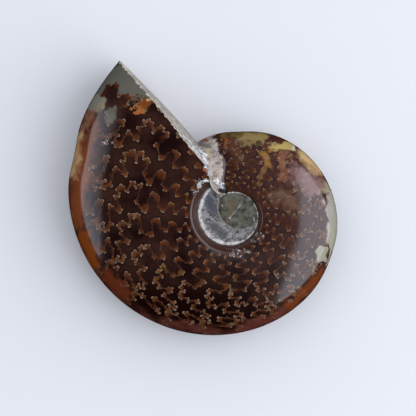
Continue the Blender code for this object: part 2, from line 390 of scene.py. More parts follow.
def add_node(tree, kind, inputs=None, **settings):
    """A new node with its settings, and with inputs that are each set to a value or linked to a socket."""
    node = tree.nodes.new(kind)
    for name, value in settings.items():
        setattr(node, name, value)
    for name, value in (inputs or {}).items():
        if isinstance(value, bpy.types.NodeSocket):
            tree.links.new(value, node.inputs[name])
        else:
            node.inputs[name].default_value = value
    return node


OPERATIONS = {
    ast.Add: "ADD", ast.Sub: "SUBTRACT", ast.Mult: "MULTIPLY", ast.Div: "DIVIDE", ast.Pow: "POWER",
}
FUNCTIONS = {
    "sin": "SINE", "cos": "COSINE", "asin": "ARCSINE", "sqrt": "SQRT", "exp": "EXPONENT", "size": "ABSOLUTE",
    "least": "MINIMUM", "most": "MAXIMUM", "above": "GREATER_THAN", "log": "LOGARITHM",
}
NUMBERS = {
    name.lower(): value for name, value in list(globals().items()) if isinstance(value, (int, float))
}


def add_rule(tree, text, values):
    """Turns lines such as "area = width * height" into Math nodes, and returns the values with those it made.

    A name is one of the values, or a number that is named in capitals in this file. smooth(x) eases from 0 to
    1, share(x) is x kept between 0 and 1, above(x, y) is 1 where x is more than y, and size(x) has no sign.
    """
    values = NUMBERS | values

    def built(term):
        if isinstance(term, ast.Constant):
            return term.value
        if isinstance(term, ast.Name):
            return values[term.id]
        if isinstance(term, ast.UnaryOp):
            inputs = {0: 0.0, 1: built(term.operand)}
            return add_node(tree, "ShaderNodeMath", inputs, operation="SUBTRACT").outputs[0]
        if isinstance(term, ast.BinOp):
            inputs = {0: built(term.left), 1: built(term.right)}
            return add_node(tree, "ShaderNodeMath", inputs, operation=OPERATIONS[type(term.op)]).outputs[0]
        terms = [built(part) for part in term.args]
        if term.func.id in ("smooth", "share"):
            steps = "SMOOTHSTEP" if term.func.id == "smooth" else "LINEAR"
            node = add_node(tree, "ShaderNodeMapRange", {"Value": terms[0]}, interpolation_type=steps)
            return node.outputs["Result"]
        operation = FUNCTIONS[term.func.id]
        return add_node(tree, "ShaderNodeMath", dict(enumerate(terms)), operation=operation).outputs[0]

    for line in ast.parse(text).body:
        values[line.targets[0].id] = built(line.value)
    return values


# The grid's place in the coil: u goes round from the mouth, and v from the upper pole to the lower one.
PLACE_RULE = """
u = x + 0.5
v = y + 0.5
turn = -log(1 - share(u / (1 - cut_share)) * (1 - 1 / growth), growth)
cut = share((u - 1 + cut_share) / cut_share)
below = above(v, upper_share)
half = v / upper_share * (1 - below) + (1 - v) / (1 - upper_share) * below
floor = share(half / floor_rings)
wall = share((half - floor_rings) / (wall_rings - floor_rings))
out = share((half - wall_rings) / (1 - wall_rings))
flank = out * (flank_ease + (1 - flank_ease) * out)
rim = smooth((floor - 1) / rim_share + 1)
"""
SWELL_RULE = """
phase = full_turn * waves * turn
swell = swell + sine * sin(phase) + cosine * (cos(phase) - 1)
"""
FLAT_RULE = """
off = (turn - place) / length
flat = flat + depth * exp(-(off * off))
"""
SECTION_RULE = """
venter = mouth_radius * growth ** -turn * exp(swell) * (1 + lip_flare * exp(-turn / lip_length) - flat)
venter = venter + crust * smooth((turn - venter_crust_start) / venter_crust_edge)
top = half_thickness * thickness_growth ** -turn + crust * smooth((turn - crust_start) / crust_edge)
foot = floor_radius * floor_growth ** -turn
crest = foot + crest_share * (venter - foot)
run = 0.35 * wall + 0.65 * wall ** 2.5
radius = foot * floor + (crest - foot) * run + (venter - crest) * sin(half_pi * flank)
steep = run / wall_run
gentle = 1 - wall_top_drop * (1 - run) ** 2
apart = (steep - gentle) / 2
corner = wall_corner * wall_corner * share((1 - run) * 3)
rise = least(1, (steep + gentle) / 2 - sqrt(apart * apart + corner))
height = floor_level + rim_rise * rim + (top - floor_level - rim_rise) * most(0, rise)
height = height * sqrt(most(0, 1 - sin(half_pi * flank) ** venter_power))
"""
SPIRAL_RULE = """
radius = radius + (mouth_section_radius - radius) * cut
height = height + (mouth_section_height - height) * cut
straight = asin(cut_offset / mouth_radius) - asin(cut_offset / most(radius, cut_bend_inner))
along = share((mouth_radius - radius) / (mouth_radius - cut_bow_radius))
bow = cut_bow * sin(2 * half_pi * along) / most(radius, cut_bend_inner)
shift = straight * smooth((radius - cut_bend_inner) / (cut_bend_outer - cut_bend_inner)) - bow
near_cut = smooth(1 - least(turn, 1 - turn) / cut_reach)
angle = mouth_angle + full_turn * turn - cut_gap * turn * (1 - cut) ** 2 + near_cut * shift
x = radius * cos(angle)
y = radius * sin(angle)
inner_x = x - inner_whorl_x
inner_y = y - inner_whorl_y
inside = inner_whorl_radius - sqrt(inner_x * inner_x + inner_y * inner_y)
height = height + inner_whorl_rise * smooth(0.5 + inside / inner_whorl_edge) * (1 - rim)
z = height * (1 - 2 * below)
lean = z * cut_lean * near_cut * smooth(wall)
x = x + lean * cut_y
y = y - lean * cut_x
"""
RELIEF_RULE = """
rough = most(smooth(1 - wall * 8), smooth((turn - crust_start) / crust_edge) * (1 - cut))
depth = rough * rough_depth * (lumps - 0.5) + (1 - rough) * polish_wave * (wave - 0.5)
z = z + depth * (1 - 2 * below) * (1 - smooth(flank * 2 - 1))
"""


# The node tree's names for the coil's sizes, and those of the settings and the rules
SIZES = {
    "Mouth Radius": "mouth_radius", "Growth": "growth", "Half Thickness": "half_thickness",
    "Floor Radius": "floor_radius", "Floor Level": "floor_level",
}


def coil_tree(defaults):
    """The Geometry Nodes tree of the coil: a flat grid, whose points move to their places on the shell."""
    tree = bpy.data.node_groups.new("ammonite_coil", "GeometryNodeTree")
    tree.interface.new_socket("Geometry", in_out="OUTPUT", socket_type="NodeSocketGeometry")
    for name, value in defaults.items():
        kind = {int: "Int", float: "Float"}.get(type(value), "Material")
        socket = tree.interface.new_socket(name, in_out="INPUT", socket_type="NodeSocket" + kind)
        socket.default_value = value
    given = add_node(tree, "NodeGroupInput").outputs
    sizes = {size: given[name] for name, size in SIZES.items()}

    inputs = {"Vertices X": given["Columns"], "Vertices Y": given["Rings"]}
    grid = add_node(tree, "GeometryNodeMeshGrid", inputs).outputs["Mesh"]
    flat = add_node(tree, "GeometryNodeInputPosition").outputs[0]
    flat = add_node(tree, "ShaderNodeSeparateXYZ", {0: flat})
    place = add_rule(tree, PLACE_RULE, sizes | {"x": flat.outputs["X"], "y": flat.outputs["Y"]})
    mouth = add_section(tree, place | {"turn": 0.0})
    section = add_section(tree, place)
    section |= {"mouth_section_radius": mouth["radius"], "mouth_section_height": mouth["height"]}
    coil = add_rule(tree, SPIRAL_RULE, section)
    bare = joined(tree, coil)
    for name, length in (("lumps", ROUGH_GRAIN), ("wave", POLISH_WAVE_LENGTH)):
        inputs = {"Vector": bare, "Scale": 1 / length}
        coil[name] = add_node(tree, "ShaderNodeTexNoise", inputs).outputs["Fac"]
    coil = add_rule(tree, RELIEF_RULE, coil)

    shell = grid
    coil["spiral"] = add_rule(tree, "spiral = (angle - mouth_angle) / full_turn", coil)["spiral"]
    for name in ("spiral", "turn", "cut", "floor", "wall", "flank"):
        inputs = {"Geometry": shell, "Name": name, "Value": coil[name]}
        shell = add_node(tree, "GeometryNodeStoreNamedAttribute", inputs).outputs["Geometry"]
    axis = (math.sin(LEAN_TOWARDS), -math.cos(LEAN_TOWARDS), 0)
    inputs = {"Vector": joined(tree, coil), "Axis": axis, "Angle": LEAN}
    points = add_node(tree, "ShaderNodeVectorRotate", inputs).outputs[0]
    shell = add_node(tree, "GeometryNodeSetPosition", {"Geometry": shell, "Position": points}).outputs[0]
    shell = add_node(tree, "GeometryNodeRealizeInstances", {"Geometry": shell}).outputs[0]
    inputs = {"Geometry": shell, "Material": given["Material"]}
    shell = add_node(tree, "GeometryNodeSetMaterial", inputs).outputs[0]
    add_node(tree, "NodeGroupOutput", {"Geometry": shell})
    return tree


def joined(tree, values):
    """The values' x, y and z as one vector."""
    inputs = {"X": values["x"], "Y": values["y"], "Z": values["z"]}
    return add_node(tree, "ShaderNodeCombineXYZ", inputs).outputs[0]


def add_section(tree, values):
    """The radius and height of every point in the whorl's section at values' turn."""
    values = values | {"swell": 0.0, "flat": 0.0}
    for waves, sine, cosine in SWELLINGS:
        values = add_rule(tree, SWELL_RULE, values | {"waves": waves, "sine": sine, "cosine": cosine})
    for place, length, depth in POLISHED_FLATS:
        values = add_rule(tree, FLAT_RULE, values | {"place": place, "length": length, "depth": depth})
    return add_rule(tree, SECTION_RULE, values)


def mesh_from_nodes(name, tree, inputs):
    """The plain mesh that a tree makes, with its inputs set by name."""
    maker = bpy.data.objects.new(name, bpy.data.meshes.new(name))
    bpy.context.scene.collection.objects.link(maker)
    modifier = maker.modifiers.new(name, "NODES")
    modifier.node_group = tree
    for socket in tree.interface.items_tree:
        if socket.in_out == "INPUT":
            modifier[socket.identifier] = inputs[socket.name]
    mesh = bpy.data.meshes.new_from_object(maker.evaluated_get(bpy.context.evaluated_depsgraph_get()))
    bpy.data.objects.remove(maker)
    return mesh


def grid_values(mesh, name, shape):
    """An attribute of the mesh as an array of rings and columns."""
    data = mesh.attributes[name].data
    kind, width = ("vector", 3) if name == "position" else ("value", 1)
    values = np.empty(len(data) * width, np.float32)
    data.foreach_get(kind, values)
    return np.swapaxes(values.reshape(*shape, width), 0, 1).astype(float).squeeze()


def smooth_line(points, steps):
    """Points along a Catmull-Rom curve through the given ones."""
    points = np.vstack([2 * points[0] - points[1], points, 2 * points[-1] - points[-2]])
    before, start, end, after = (points[first : len(points) - 3 + first, None] for first in range(4))
    t = np.linspace(0, 1, steps, endpoint=False)[None, :, None]
    bend = (2 * before - 5 * start + 4 * end - after) * t**2 + (3 * start - before - 3 * end + after) * t**3
    curve = (2 * start + (end - before) * t + bend) / 2
    return np.vstack([curve.reshape(-1, 2), points[-2]])


def bends(points):
    """How sharply a line turns at each of its points, from 0 where it is straight to 1, and the same number
    with a minus sign where the turn bulges backward."""
    step = np.linalg.norm(points[1] - points[0])
    reach = round(TIP_REACH / step)
    padded = np.pad(points, ((reach, reach), (0, 0)), mode="edge")
    before, after = points - padded[: -2 * reach], padded[2 * reach :] - points
    lengths = np.linalg.norm(before, axis=1) * np.linalg.norm(after, axis=1) + 1e-12
    turned = np.clip(1 - (before * after).sum(axis=1) / lengths, 0, 1)
    bulge = np.sign(before[:, 1] * after[:, 0] - before[:, 0] * after[:, 1]) * turned
    return blur_weights(len(points), TIP_EASE / step) @ np.column_stack([turned, bulge])


def measured(line):
    """The line at even steps, with how many scallops lie before each point and how the line bends there."""
    line = line * (ACROSS_TO_FORWARD, 1)
    lengths = np.concatenate([[0], np.cumsum(np.linalg.norm(np.diff(line, axis=0), axis=1))])
    scallops = round(lengths[-1] / SCALLOP_LENGTH)
    along = np.linspace(0, lengths[-1], scallops * SUTURE_STEPS + 1)
    line = np.stack([np.interp(along, lengths, line[:, axis]) for axis in range(2)], axis=1)
    counted = along / lengths[-1] * scallops
    return np.column_stack([line / (ACROSS_TO_FORWARD, 1), counted, bends(line)])


def suture_half(random):
    """One suture from the umbilicus to the venter. Its columns are the share across the flank, the gaps
    forward, the scallops so far, and the two bends."""
    line = np.array(SUTURE_LINE, float) / 100
    wander = random.normal(size=line.shape) * SUTURE_WANDER
    wander = (wander + np.roll(wander, 1, axis=0) + np.roll(wander, -1, axis=0)) / 1.7
    wander[-1] = 0
    rounded = blur_weights(len(line), 3.0) @ line
    line = line + wander + LEAF_DEPTH * (line - rounded) * np.minimum(1, np.arange(len(line))[::-1, None] / 6)
    line = line * (1, random.uniform(*SUTURE_STRETCH))
    tail = [(UMBILICUS_SHARE, line[0, 1], 0, 0, 0)]
    return np.vstack([tail, measured(smooth_line(line, SUTURE_STEPS))])


def between(grid, row, column):
    """The grid's values at places between its rings and columns."""
    row = np.clip(row, 0, grid.shape[0] - 1.001)
    column = np.clip(column, 0, grid.shape[1] - 1.001)
    ring, place = row.astype(int), column.astype(int)
    down, along = row - ring, column - place
    if grid.ndim == 3:
        down, along = down[:, None], along[:, None]
    upper = grid[ring, place] * (1 - along) + grid[ring, place + 1] * along
    lower = grid[ring + 1, place] * (1 - along) + grid[ring + 1, place + 1] * along
    return upper * (1 - down) + lower * down


def find_on_grid(spiral, across, turns, shares):
    """The rows and columns where the shell has the given turns and shares across its section. A place beyond
    the mouth or the saw cut gets a column beyond the grid."""
    rings, columns = spiral.shape
    column = np.interp(turns, spiral[rings // 2], np.arange(columns))
    row = np.interp(shares, across[:, columns // 2], np.arange(rings))
    for _ in range(8):
        step = between(spiral, row, column + 0.5) - between(spiral, row, column - 0.5)
        step = np.maximum(step, 0.5 / columns)
        column = column + (turns - between(spiral, row, column)) / step
        column = np.clip(column, -SPARE_COLUMNS, columns + SPARE_COLUMNS)
        step = between(across, row + 0.5, column) - between(across, row - 0.5, column)
        row = np.clip(row + (shares - between(across, row, column)) / np.maximum(step, 1e-4), 0, rings - 1)
    return row, column


def crossings_before(row, column, shape):
    """How many times a line is crossed on the way from the mouth to each place of the grid."""
    counts = np.zeros(shape, int)
    for ring in range(shape[0]):
        start = np.nonzero((row[:-1] <= ring) != (row[1:] <= ring))[0]
        share = (ring - row[start]) / (row[start + 1] - row[start])
        crossed = column[start] + share * (column[start + 1] - column[start])
        counts[ring] = np.searchsorted(np.sort(crossed), np.arange(shape[1]))
    return counts


def blur_weights(count, spread):
    """The matrix that blurs a row of values over a spread of places."""
    places = np.arange(count)
    weights = np.exp(-0.5 * ((places[:, None] - places) / spread) ** 2)
    return weights / weights.sum(axis=1, keepdims=True)


def suture_fields(place, spiral, across, seed):
    """What each place of the grid needs to know of the sutures, by name.

    suture is the distance from the nearest one in millimetres, positive and negative in turn from chamber
    to chamber. along is how many scallops lie before that place on it, scallop is their depth there in
    millimetres, with the sign of the side that they bulge to, and tip is how sharply the suture bends. fold
    and leaf are how far small and large folds close round the place. tip_chamber is like suture, but its
    sign changes at one suture only.
    """
    shape = spiral.shape
    random = np.random.default_rng(seed)
    chamber = np.zeros(shape, int)
    fields = {"fold": np.zeros(shape), "leaf": np.zeros(shape)}
    near, facts = [], []
    turn, gap = FIRST_SUTURE, SUTURE_GAP
    for number in range(SUTURES):
        upper, lower = suture_half(random), suture_half(random)
        line = np.vstack([upper, (2, 0, 0, 0, 0) + lower[::-1] * (-1, 1, 1, 1, 1)])
        nearness = 1 - np.abs(1 - np.clip(line[:, 0], 0, 2))  # to the venter
        line[:, 1] += nearness**2 * random.uniform(-VENTER_DRIFT, VENTER_DRIFT)
        row, column = find_on_grid(spiral, across, turn - line[:, 1] * gap, line[:, 0])
        counts = crossings_before(row, column, shape)
        chamber += counts
        side = 1.0 - 2 * (counts % 2)
        if number == TIP_CHAMBER:
            fields["tip_chamber"] = side
        edges = (column.min() - SPARE_COLUMNS, column.max() + SPARE_COLUMNS + 1)
        first, last = (int(np.clip(edge, 0, shape[1])) for edge in edges)
        if last - first > 2:
            window = side[:, first:last]
            for name, spread in FOLD_SPREADS:
                blurred = blur_weights(shape[0], spread) @ window @ blur_weights(last - first, spread).T
                fields[name][:, first:last] = np.maximum(fields[name][:, first:last], -window * blurred)
        steps = np.arange(len(row) * 4) / 4
        row, column, along, bend, bulge = (
            np.interp(steps, np.arange(len(row)), values) for values in (row, column, *line.T[2:]))
        shown = (column >= 0) & (column <= shape[1] - 1)
        points = between(place, row, column)
        gap_mm = gap * FULL_TURN * np.hypot(points[:, 0], points[:, 1]) / MM
        depth = SCALLOP_DEPTH * np.clip(3 * bulge, -1, 1) * gap_mm * (1 - 2 * (number % 2))
        near.append(points[shown])
        facts.append(np.column_stack([along, depth, bend])[shown])
        turn, gap = turn + gap, gap * SUTURE_GAP_GROWTH
    near, facts = np.vstack(near), np.vstack(facts)
    tree = kdtree.KDTree(len(near))
    for number, point in enumerate(near):
        tree.insert(point, number)
    tree.balance()
    found = [tree.find(point)[1:] for point in place.reshape(-1, 3)]
    distance = np.minimum(np.array([each[1] for each in found]).reshape(shape) / MM, FARTHEST)
    for name, values in zip(("along", "scallop", "tip"), facts[[each[0] for each in found]].T):
        fields[name] = values.reshape(shape)
    fields["suture"] = (1 - 2 * (chamber % 2)) * distance
    fields["tip_chamber"] *= distance
    return fields


def make_coil_mesh(settings, material):
    """The coil's closed mesh, laid where the model's solid lies, with the sutures stored on it."""
    inputs = {name: getattr(settings, size) for name, size in SIZES.items()}
    inputs |= {"Columns": COLUMNS, "Rings": RINGS, "Material": material}
    mesh = mesh_from_nodes("ammonite_coil", coil_tree(inputs), inputs)
    shape = (COLUMNS, RINGS)
    place = grid_values(mesh, "position", shape)
    spiral = grid_values(mesh, "spiral", shape)
    coil_columns = 1 + int((1 - CUT_SHARE) * (COLUMNS - 1))
    steps = np.linalg.norm(np.diff(place, axis=0), axis=2)
    lengths = np.vstack([np.zeros(COLUMNS), np.cumsum(steps, axis=0)])
    upper_foot, lower_foot = (round(edge * (RINGS - 1)) for edge in (
        UPPER_SHARE * FLOOR_RINGS, 1 - (1 - UPPER_SHARE) * FLOOR_RINGS))
    venter = round(UPPER_SHARE * (RINGS - 1))
    upper = (lengths - lengths[upper_foot]) / (lengths[venter] - lengths[upper_foot])
    lower = 1 + (lengths - lengths[venter]) / (lengths[lower_foot] - lengths[venter])
    across = np.where(np.arange(RINGS)[:, None] <= venter, upper, lower)
    uncut = [grid[:, :coil_columns] for grid in (place, spiral, across)]
    for name, values in suture_fields(*uncut, settings.seed).items():
        whole = np.hstack([values, np.repeat(values[:, -1:], COLUMNS - coil_columns, axis=1)])
        whole[:, -1] = whole[:, 0]
        attribute = mesh.attributes.new(name, "FLOAT", "POINT")
        attribute.data.foreach_set("value", whole.T.astype(np.float32).ravel())

    points = place.swapaxes(0, 1).reshape(-1, 3)
    points[:, 2] -= points[:, 2].min() + GROUND_OFF
    points[:, 2] = np.maximum(points[:, 2], 0)
    low, high = (np.array(corner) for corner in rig.box(NODE))
    points[:, :2] += ((low + high) / 2 - (points.min(axis=0) + points.max(axis=0)) / 2)[:2]
    mesh.vertices.foreach_set("co", points.astype(np.float32).ravel())
    bm = bmesh.new()
    bm.from_mesh(mesh)
    bmesh.ops.remove_doubles(bm, verts=bm.verts, dist=MM / 1000)
    bmesh.ops.recalc_face_normals(bm, faces=bm.faces)
    bm.to_mesh(mesh)
    bm.free()
    mesh.shade_smooth()
    mesh.set_sharp_from_angle(angle=math.radians(40))
    return mesh


# What the mesh stores for the material
ATTRIBUTES = (
    "suture", "along", "scallop", "tip", "fold", "leaf", "tip_chamber",
    "turn", "cut", "floor", "wall", "flank",
)
# The stone's noises, each with its grain in millimetres and its detail
GRAINS = (("coarse", 6.0, 2.0), ("mottle", 1.1, 3.0), ("grit", 0.3, 2.0))
WANDER_GRAIN = 2.857  # millimetres, of the noise that makes the marks wander
# Where each part of the stone shows, in shares from 0 to 1. Lengths are in millimetres.
STONE_RULE = """
ragged = share((0.6 * mottle + 0.4 * coarse - 0.5) * 3.2 + 0.5)
speck = share((mottle - 0.5) * 3 + 0.5)
cloud = share((coarse - 0.5) * 3 + 0.5)
light_side = smooth((x + 0.7 * y - 1) / 22)
dark_side = smooth((-y - 14) / 10) * smooth((14 - x) / 10)
margin = smooth((flank + 0.12 * (cloud - 0.5) - 0.66) / 0.22)
warm = smooth((cloud - 0.25) / 0.6)
matrix = smooth((0.04 - wall + 0.02 * (speck - 0.5)) / 0.03)
wall_side = smooth(wall * 8) * (1 - smooth((wall - 0.42) / 0.12))
scalloped = least(1, size(scallop) * 3)
bulge = size(sin(2 * half_pi * along))
tipped = smooth(tip * 1.4 + 0.2 * (speck - 0.5)) * (0.5 + 0.5 * bulge)
edge = suture - scallop * (bulge - scallop_middle)
outward = edge * most(-1, least(1, scallop * 20))
inner = smooth(1 - outward / 0.08)
brim = smooth(-outward / 0.08) * smooth(1 + outward / 1.1) * scalloped
edge = size(edge)
gloom = smooth(outward / 0.1) * smooth(1 - outward / 0.7) * (0.3 + 0.7 * tipped) * scalloped
leafy = smooth(leaf * 3.6 + 0.1 + 0.3 * (ragged - 0.5)) * inner
folded = most(brim, smooth(fold * 2.4 + leaf * 2.4 - 0.05 + 0.4 * (ragged - 0.5)) * inner)
folded = folded * (0.7 + 0.3 * cloud)
amber = smooth(1 - edge / 0.65) * (0.25 + 0.75 * tipped) * folded * (1 - wall_side)
line = smooth((0.07 + 0.035 * tipped + 0.04 * (speck - 0.5) - edge) / 0.075)
line = line * (0.6 + 0.4 * tipped) * (1 - 0.3 * margin) * (1 - wall_side) * (0.8 + 0.2 * smooth(flank * 4))
out_x = x - middle_x
out_y = y - middle_y
reach = sqrt(out_x * out_x + out_y * out_y) + 0.01
leftward = 0.5 - 0.5 * (out_x * 0.8 + out_y * 0.45) / reach
rim_width = 0.01 + 0.085 * smooth(leftward * 1.3 - 0.2) + 0.04 * (ragged - 0.5)
whitened = smooth((floor + rim_width - 1) / 0.05 + 0.5) * matrix
disc_x = out_x - inner_whorl_x / mm
disc_y = out_y - inner_whorl_y / mm
inside = inner_whorl_radius / mm - sqrt(disc_x * disc_x + disc_y * disc_y)
disc = smooth((inside - 0.05 + 0.1 * (ragged - 0.5)) / 0.25) * matrix
disc_edge = smooth(1.2 - size(inside) / 0.13) * smooth(-disc_x - 1.5) * matrix
chalk = smooth((turn - 0.953 + 0.01 * (ragged - 0.5)) / 0.006) * (1 - matrix)
sawn = smooth(cut * 18) * (1 - matrix)
sawn_edge = smooth((cut - 0.8 + 0.25 * (ragged - 0.5)) / 0.12)
olive = smooth((tip_chamber - size(scallop) * (bulge - scallop_middle)) / 0.15 + 0.5)
olive = olive * smooth((flank - 0.3) / 0.1) * smooth((y - 22.3 + 2 * (ragged - 0.5)) / 1.4)
streak = 0.5 * mottle + 0.5 * grit
"""
# The marks wander, and below the shoulder they run at a slant down the side.
WARP_RULE = """
low = most(0, 12 - z)
x = x + 3 * (shift_x - 0.5) + 0.3 * low
y = y + 3 * (shift_y - 0.5) - 0.2 * low
"""
# One mark's share at a point: to_x and so on are its ends.
MARK_RULE = """
along_x = to_x - from_x
along_y = to_y - from_y
off_x = x - from_x
off_y = y - from_y
way = share((off_x * along_x + off_y * along_y) / (along_x * along_x + along_y * along_y))
off_x = off_x - way * along_x
off_y = off_y - way * along_y
inside = half_width - sqrt(off_x * off_x + off_y * off_y) + raggedness * (ragged - 0.5)
mark = smooth(inside / softness + 0.5)
"""
FINISH_RULE = """
rough = most(most(matrix, chalk), most(sawn, crystals))
roughness = 0.11 + 0.05 * mottle + 0.45 * rough
dull = rough * (0.10 * mottle + 0.06 * grit) + chips * (0.25 * mottle + 0.08 * grit)
height = dull + 0.004 * (1 - rough) * mottle
"""
MARK_INPUTS = (
    "x", "y", "ragged", "from_x", "from_y", "to_x", "to_y", "half_width", "raggedness", "softness",
)


def mark_group():
    """The node group that draws one mark."""
    group = bpy.data.node_groups.new("mark", "ShaderNodeTree")
    for name in MARK_INPUTS:
        group.interface.new_socket(name, in_out="INPUT", socket_type="NodeSocketFloat")
    group.interface.new_socket("mark", in_out="OUTPUT", socket_type="NodeSocketFloat")
    given = add_node(group, "NodeGroupInput").outputs
    mark = add_rule(group, MARK_RULE, {name: given[name] for name in MARK_INPUTS})["mark"]
    add_node(group, "NodeGroupOutput", {"mark": mark})
    return group


def add_mark(tree, masks, start, end, half_width, raggedness=0.5, softness=0.3):
    """The share of one mark at each point of the stone."""
    group = bpy.data.node_groups.get("mark") or mark_group()
    inputs = {name: masks[name] for name in MARK_INPUTS[:3]}
    inputs |= dict(zip(MARK_INPUTS[3:], (*start, *end, half_width, raggedness, softness)))
    return add_node(tree, "ShaderNodeGroup", inputs, node_tree=group).outputs["mark"]


def add_marks(tree, masks, marks):
    """The share of any of several marks."""
    shares = [add_mark(tree, masks, *mark) for mark in marks]
    total = shares[0]
    for share in shares[1:]:
        total = add_rule(tree, "total = most(total, other)", {"total": total, "other": share})["total"]
    return total


def add_layers(tree, colour, layers):
    """A colour with other colours over it, each given as a hex colour or a socket with its share."""
    for above, share in layers:
        above = linear(above) if isinstance(above, str) else above
        inputs = {0: share, 6: colour, 7: above}
        colour = add_node(tree, "ShaderNodeMix", inputs, data_type="RGBA").outputs[2]
    return colour


def add_grain(tree, dark, light, noise, contrast):
    """A colour that goes between two others with a noise value, which the contrast spreads out."""
    values = {"noise": noise, "contrast": contrast}
    spread = add_rule(tree, "spread = share((noise - 0.5) * contrast + 0.5)", values)["spread"]
    return add_layers(tree, linear(dark), [(light, spread)])


def add_coloured_marks(tree, colour, masks, marks):
    """A colour with marks over it, each of which has a name, its place and edge, and its own colour."""
    return add_layers(tree, colour, [(mark[-1], add_mark(tree, masks, *mark[1:-1])) for mark in marks])


def calcite_material(settings):
    """Polished calcite and agate that filled the shell's chambers. Light sinks into the brown crystal and
    comes back warm where a fold of a suture closes round it, the thin shell walls stay pale, and the polish
    mirrors the lights. The umbilicus and the saw cut keep the dull grey and chalky matrix."""
    material = bpy.data.materials.new("polished_calcite")
    material.use_nodes = True
    tree = material.node_tree
    tree.nodes.clear()
    coordinates = add_node(tree, "ShaderNodeTexCoord").outputs["Object"]
    inputs = {0: coordinates, 3: 1 / MM}
    in_mm = add_node(tree, "ShaderNodeVectorMath", inputs, operation="SCALE").outputs[0]
    apart = add_node(tree, "ShaderNodeSeparateXYZ", {0: in_mm})
    masks = {"x": apart.outputs["X"], "y": apart.outputs["Y"], "z": apart.outputs["Z"]}
    for name in ATTRIBUTES:
        masks[name] = add_node(tree, "ShaderNodeAttribute", attribute_name=name).outputs["Fac"]
    for name, grain, detail in GRAINS:
        inputs = {"Vector": in_mm, "Scale": 1 / grain, "Detail": detail}
        masks[name] = add_node(tree, "ShaderNodeTexNoise", inputs).outputs["Fac"]
    masks = add_rule(tree, STONE_RULE, masks)

    stone = add_layers(tree, linear("#150706"), [
        (settings.stone, masks["cloud"]), ("#3A231E", masks["light_side"]), ("#120402", masks["dark_side"]),
        ("#381E14", masks["wall_side"]), ("#160906", masks["gloom"]), ("#381708", masks["leafy"])])
    leaf = add_layers(tree, settings.leaf, [("#54340E", add_mark(tree, masks, *OCHRE_LEAVES))])
    margin = add_layers(tree, linear("#3A1812"), [(settings.margin, masks["warm"])])
    stone = add_layers(tree, stone, [
        (leaf, masks["folded"]), (settings.leaf_edge, masks["amber"]), (margin, masks["margin"]),
        ("#57544A", masks["olive"])])
    inputs = {"Vector": in_mm, "Scale": 1 / WANDER_GRAIN, "Detail": 1.0}
    warp = add_node(tree, "ShaderNodeTexNoise", inputs).outputs["Color"]
    warp = add_node(tree, "ShaderNodeSeparateXYZ", {0: warp})
    warped = masks | {"shift_x": warp.outputs["X"], "shift_y": warp.outputs["Y"]}
    stone = add_coloured_marks(tree, stone, add_rule(tree, WARP_RULE, warped), MINERALS)
    line = add_layers(tree, settings.suture, [(settings.suture_tip, masks["tipped"])])
    stone = add_layers(tree, stone, [(line, masks["line"])])

    fill = add_grain(tree, "#322E2E", "#88827C", masks["streak"], 6.0)
    fill = add_coloured_marks(tree, fill, masks, MATRIX_MARKS)
    disc = add_grain(tree, "#26251A", "#55523D", masks["mottle"], 3.0)
    disc = add_coloured_marks(tree, disc, masks, DISC_MARKS)
    rim = add_grain(tree, "#7A746E", "#CFC9C2", masks["streak"], 4.0)
    fill = add_layers(tree, fill, [
        (disc, masks["disc"]), ("#8A8272", masks["disc_edge"]), (rim, masks["whitened"])])

    crust = add_grain(tree, "#6A5C50", "#B0A294", masks["streak"], 4.0)
    crust = add_coloured_marks(tree, crust, masks, CRUST_MARKS)
    # Pale and dark grains: the real colour of the crystal grains beside the cut, and painted glints of the lights at
    # the table's other marks
    sparkle = add_grain(tree, "#2E2A26", "#D2D0CE", masks["streak"], 6.0)
    sawn = add_grain(tree, "#7C7468", "#B8AFA2", masks["mottle"], 2.5)
    sawn = add_layers(tree, sawn, [("#C9BCA2", masks["sawn_edge"])])
    masks["crystals"] = add_marks(tree, masks, [(*mark, 1.8, 0.3) for mark in CRYSTALS])
    masks["chips"] = add_marks(tree, masks, [(*mark, 1.6, 0.2) for mark in CHIPS])
    # Painted shade of the small hollows
    pits = add_marks(tree, masks, [(*mark, 0.5, 0.3) for mark in PITS])
    # Pale painted glints of the lights, in specks over the chips
    masks = add_rule(tree, "flecks = chips * smooth((streak - 0.53) / 0.05)", masks)
    # Layers over the stone: matrix, crust, sawn face, crystal grains with painted glints, painted glints on the chips,
    # and the painted shade of small hollows
    colour = add_layers(tree, stone, [
        (fill, masks["matrix"]), (crust, masks["chalk"]), (sawn, masks["sawn"]), (sparkle, masks["crystals"]),
        ("#8E8884", masks["flecks"]), ("#140D09", pits)])

    finish = add_rule(tree, FINISH_RULE, masks)
    bump = add_node(tree, "ShaderNodeBump", {"Height": finish["height"], "Strength": 1.0, "Distance": MM})
    surface = add_node(tree, "ShaderNodeBsdfPrincipled", {
        "Base Color": colour, "Roughness": finish["roughness"], "Normal": bump.outputs[0], "IOR": 1.6})
    add_node(tree, "ShaderNodeOutputMaterial", {"Surface": surface.outputs[0]})
    return material


def floor_material(colour):
    """Matt seamless paper: it takes soft shadows and shows no grain at this distance."""
    material = bpy.data.materials.new("studio_paper")
    material.use_nodes = True
    surface = material.node_tree.nodes["Principled BSDF"]
    surface.inputs["Base Color"].default_value = colour
    surface.inputs["Roughness"].default_value = 0.9
    surface.inputs["Specular IOR Level"].default_value = 0.1
    return material


LIGHT_COLOUR = (0.84, 0.885, 1.0)  # daylight, a little cool
WORLD_COLOUR = (0.82, 0.87, 1.0, 1.0)


